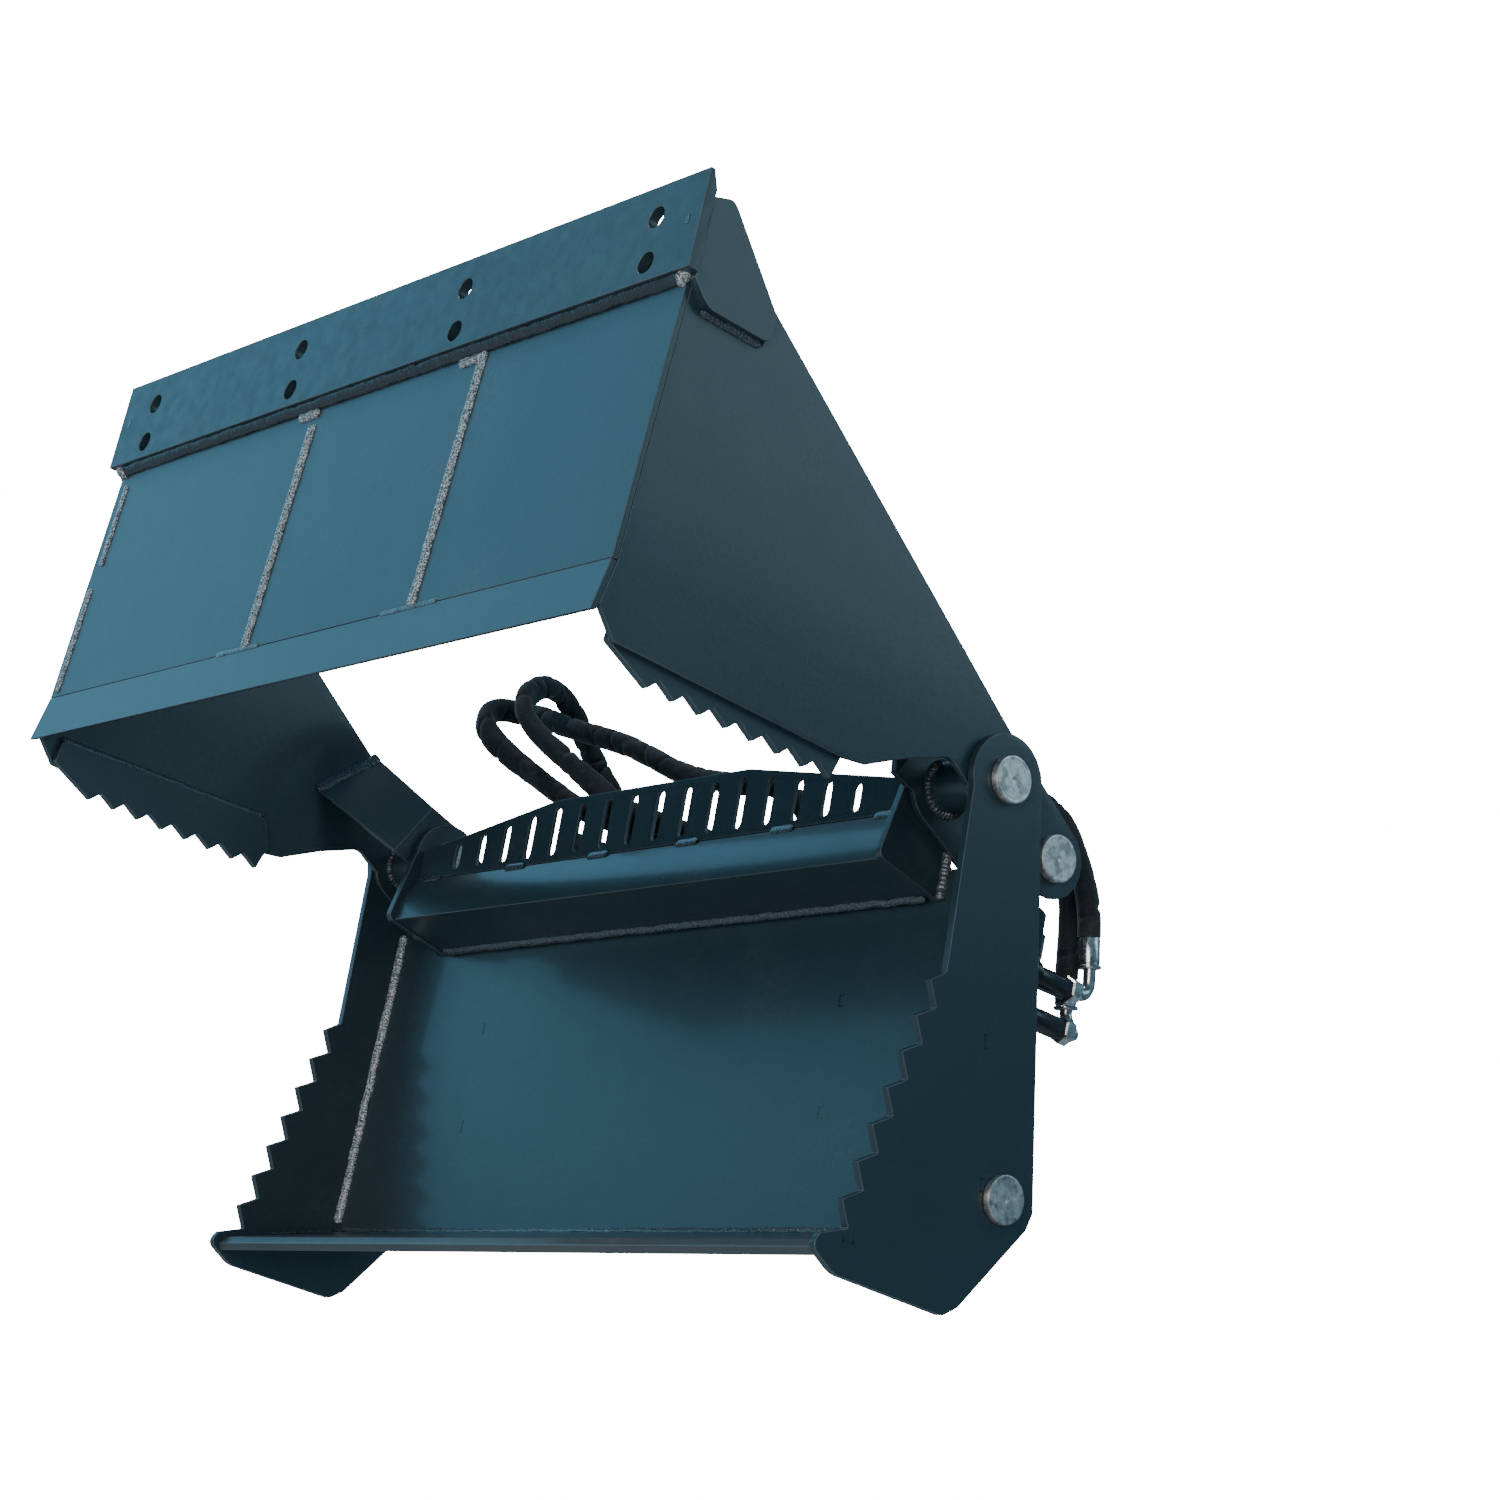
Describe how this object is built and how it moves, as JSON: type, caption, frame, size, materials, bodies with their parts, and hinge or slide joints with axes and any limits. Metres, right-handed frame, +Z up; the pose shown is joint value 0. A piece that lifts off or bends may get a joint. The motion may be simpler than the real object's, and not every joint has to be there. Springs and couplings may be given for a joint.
{
  "type": "skid steer bucket",
  "caption": "Clamshell bucket for a compact loader: a toothed rear section with a quick-attach plate, and a front jaw that hydraulic cylinders swing open on side hinges.",
  "frame": {"origin": "centre of the quick-attach frame's vertical rear face, midway between its top lip and its bottom flange, where the loader's coupler holds it", "axes": "+X across the bucket's width, +Y back towards the loader, +Z up with the bucket level; -Y is the digging side"},
  "size_m": [1.0166, 0.8769, 0.738],
  "materials": {
    "dark_paint": "gloss",
    "gloss_black_paint": "gloss",
    "zinc_plate": "satin",
    "chrome_rod": "polished",
    "hose_sleeve": "woven"
  },
  "bodies": {
    "root": {"attach_bottom_flange": "gloss_black_paint", "attach_plate": "gloss_black_paint", "attach_top_lip": "gloss_black_paint", "back_plate": "dark_paint", "hose_manifold": "zinc_plate", "left_cylinder_lug": "dark_paint", "left_cylinder_pin": "zinc_plate", "left_hinge_collar": "zinc_plate", "left_hinge_gusset": "dark_paint", "left_hinge_pin": "zinc_plate", "left_lower_hose": "hose_sleeve", "left_quick_coupler": "zinc_plate", "left_side_plate": "dark_paint", "left_supply_hose": "hose_sleeve", "left_upper_hose": "hose_sleeve", "mount_rib_1": "gloss_black_paint", "mount_rib_2": "gloss_black_paint", "mount_rib_3": "gloss_black_paint", "mount_rib_4": "gloss_black_paint", "rear_cutting_edge": "dark_paint", "rear_floor_plate": "dark_paint", "right_cylinder_lug": "dark_paint", "right_cylinder_pin": "zinc_plate", "right_hinge_collar": "zinc_plate", "right_hinge_gusset": "dark_paint", "right_hinge_pin": "zinc_plate", "right_lower_hose": "hose_sleeve", "right_quick_coupler": "zinc_plate", "right_side_plate": "dark_paint", "right_supply_hose": "hose_sleeve", "right_upper_hose": "hose_sleeve", "spill_guard": "dark_paint", "top_channel": "dark_paint"},
    "clamshell": {"clam_cutting_edge": "dark_paint", "clam_floor": "dark_paint", "clam_rear_blade": "dark_paint", "left_clam_side": "dark_paint", "left_corner_plate": "dark_paint", "left_crank_pin": "zinc_plate", "left_hinge_tube": "dark_paint", "left_inner_arm": "dark_paint", "left_tooth_strip": "dark_paint", "right_clam_side": "dark_paint", "right_corner_plate": "dark_paint", "right_crank_pin": "zinc_plate", "right_hinge_tube": "dark_paint", "right_inner_arm": "dark_paint", "right_tooth_strip": "dark_paint"},
    "left_cylinder_body": {"left_barrel": "gloss_black_paint", "left_gland": "gloss_black_paint", "left_lower_port_elbow": "zinc_plate", "left_upper_port_elbow": "zinc_plate"},
    "left_cylinder_rod": {"left_crank_pin_core": "zinc_plate", "left_rod": "chrome_rod"},
    "right_cylinder_body": {"right_barrel": "gloss_black_paint", "right_gland": "gloss_black_paint", "right_lower_port_elbow": "zinc_plate", "right_upper_port_elbow": "zinc_plate"},
    "right_cylinder_rod": {"right_crank_pin_core": "zinc_plate", "right_rod": "chrome_rod"}
  },
  "joints": [
    {"name": "clam_hinge", "type": "hinge", "parent": "root", "child": "clamshell", "pos_m": [0, -0.25, 0.207], "axis": [1, 0, 0], "range_deg": [0, 73.2]},
    {"name": "left_cylinder_swing", "type": "hinge", "parent": "root", "child": "left_cylinder_body", "pos_m": [-0.45075, -0.0565, -0.12815], "axis": [1, 0, 0], "range_deg": [0, 1.7]},
    {"name": "left_rod_slide", "type": "slide", "parent": "left_cylinder_body", "child": "left_cylinder_rod", "axis": [0, -0.3018, 0.9534], "range_m": [0, 0.1143]},
    {"name": "right_cylinder_swing", "type": "hinge", "parent": "root", "child": "right_cylinder_body", "pos_m": [0.45075, -0.0565, -0.12815], "axis": [1, 0, 0], "range_deg": [0, 1.7]},
    {"name": "right_rod_slide", "type": "slide", "parent": "right_cylinder_body", "child": "right_cylinder_rod", "axis": [0, -0.3018, 0.9534], "range_m": [0, 0.1143]}
  ],
  "couplings": [
    {"joint": "left_cylinder_swing", "follows": "clam_hinge", "ratio": 0.023126},
    {"joint": "left_rod_slide", "follows": "clam_hinge", "m_per_rad": 0.089409},
    {"joint": "right_cylinder_swing", "follows": "clam_hinge", "ratio": 0.023126},
    {"joint": "right_rod_slide", "follows": "clam_hinge", "m_per_rad": 0.089409}
  ]
}
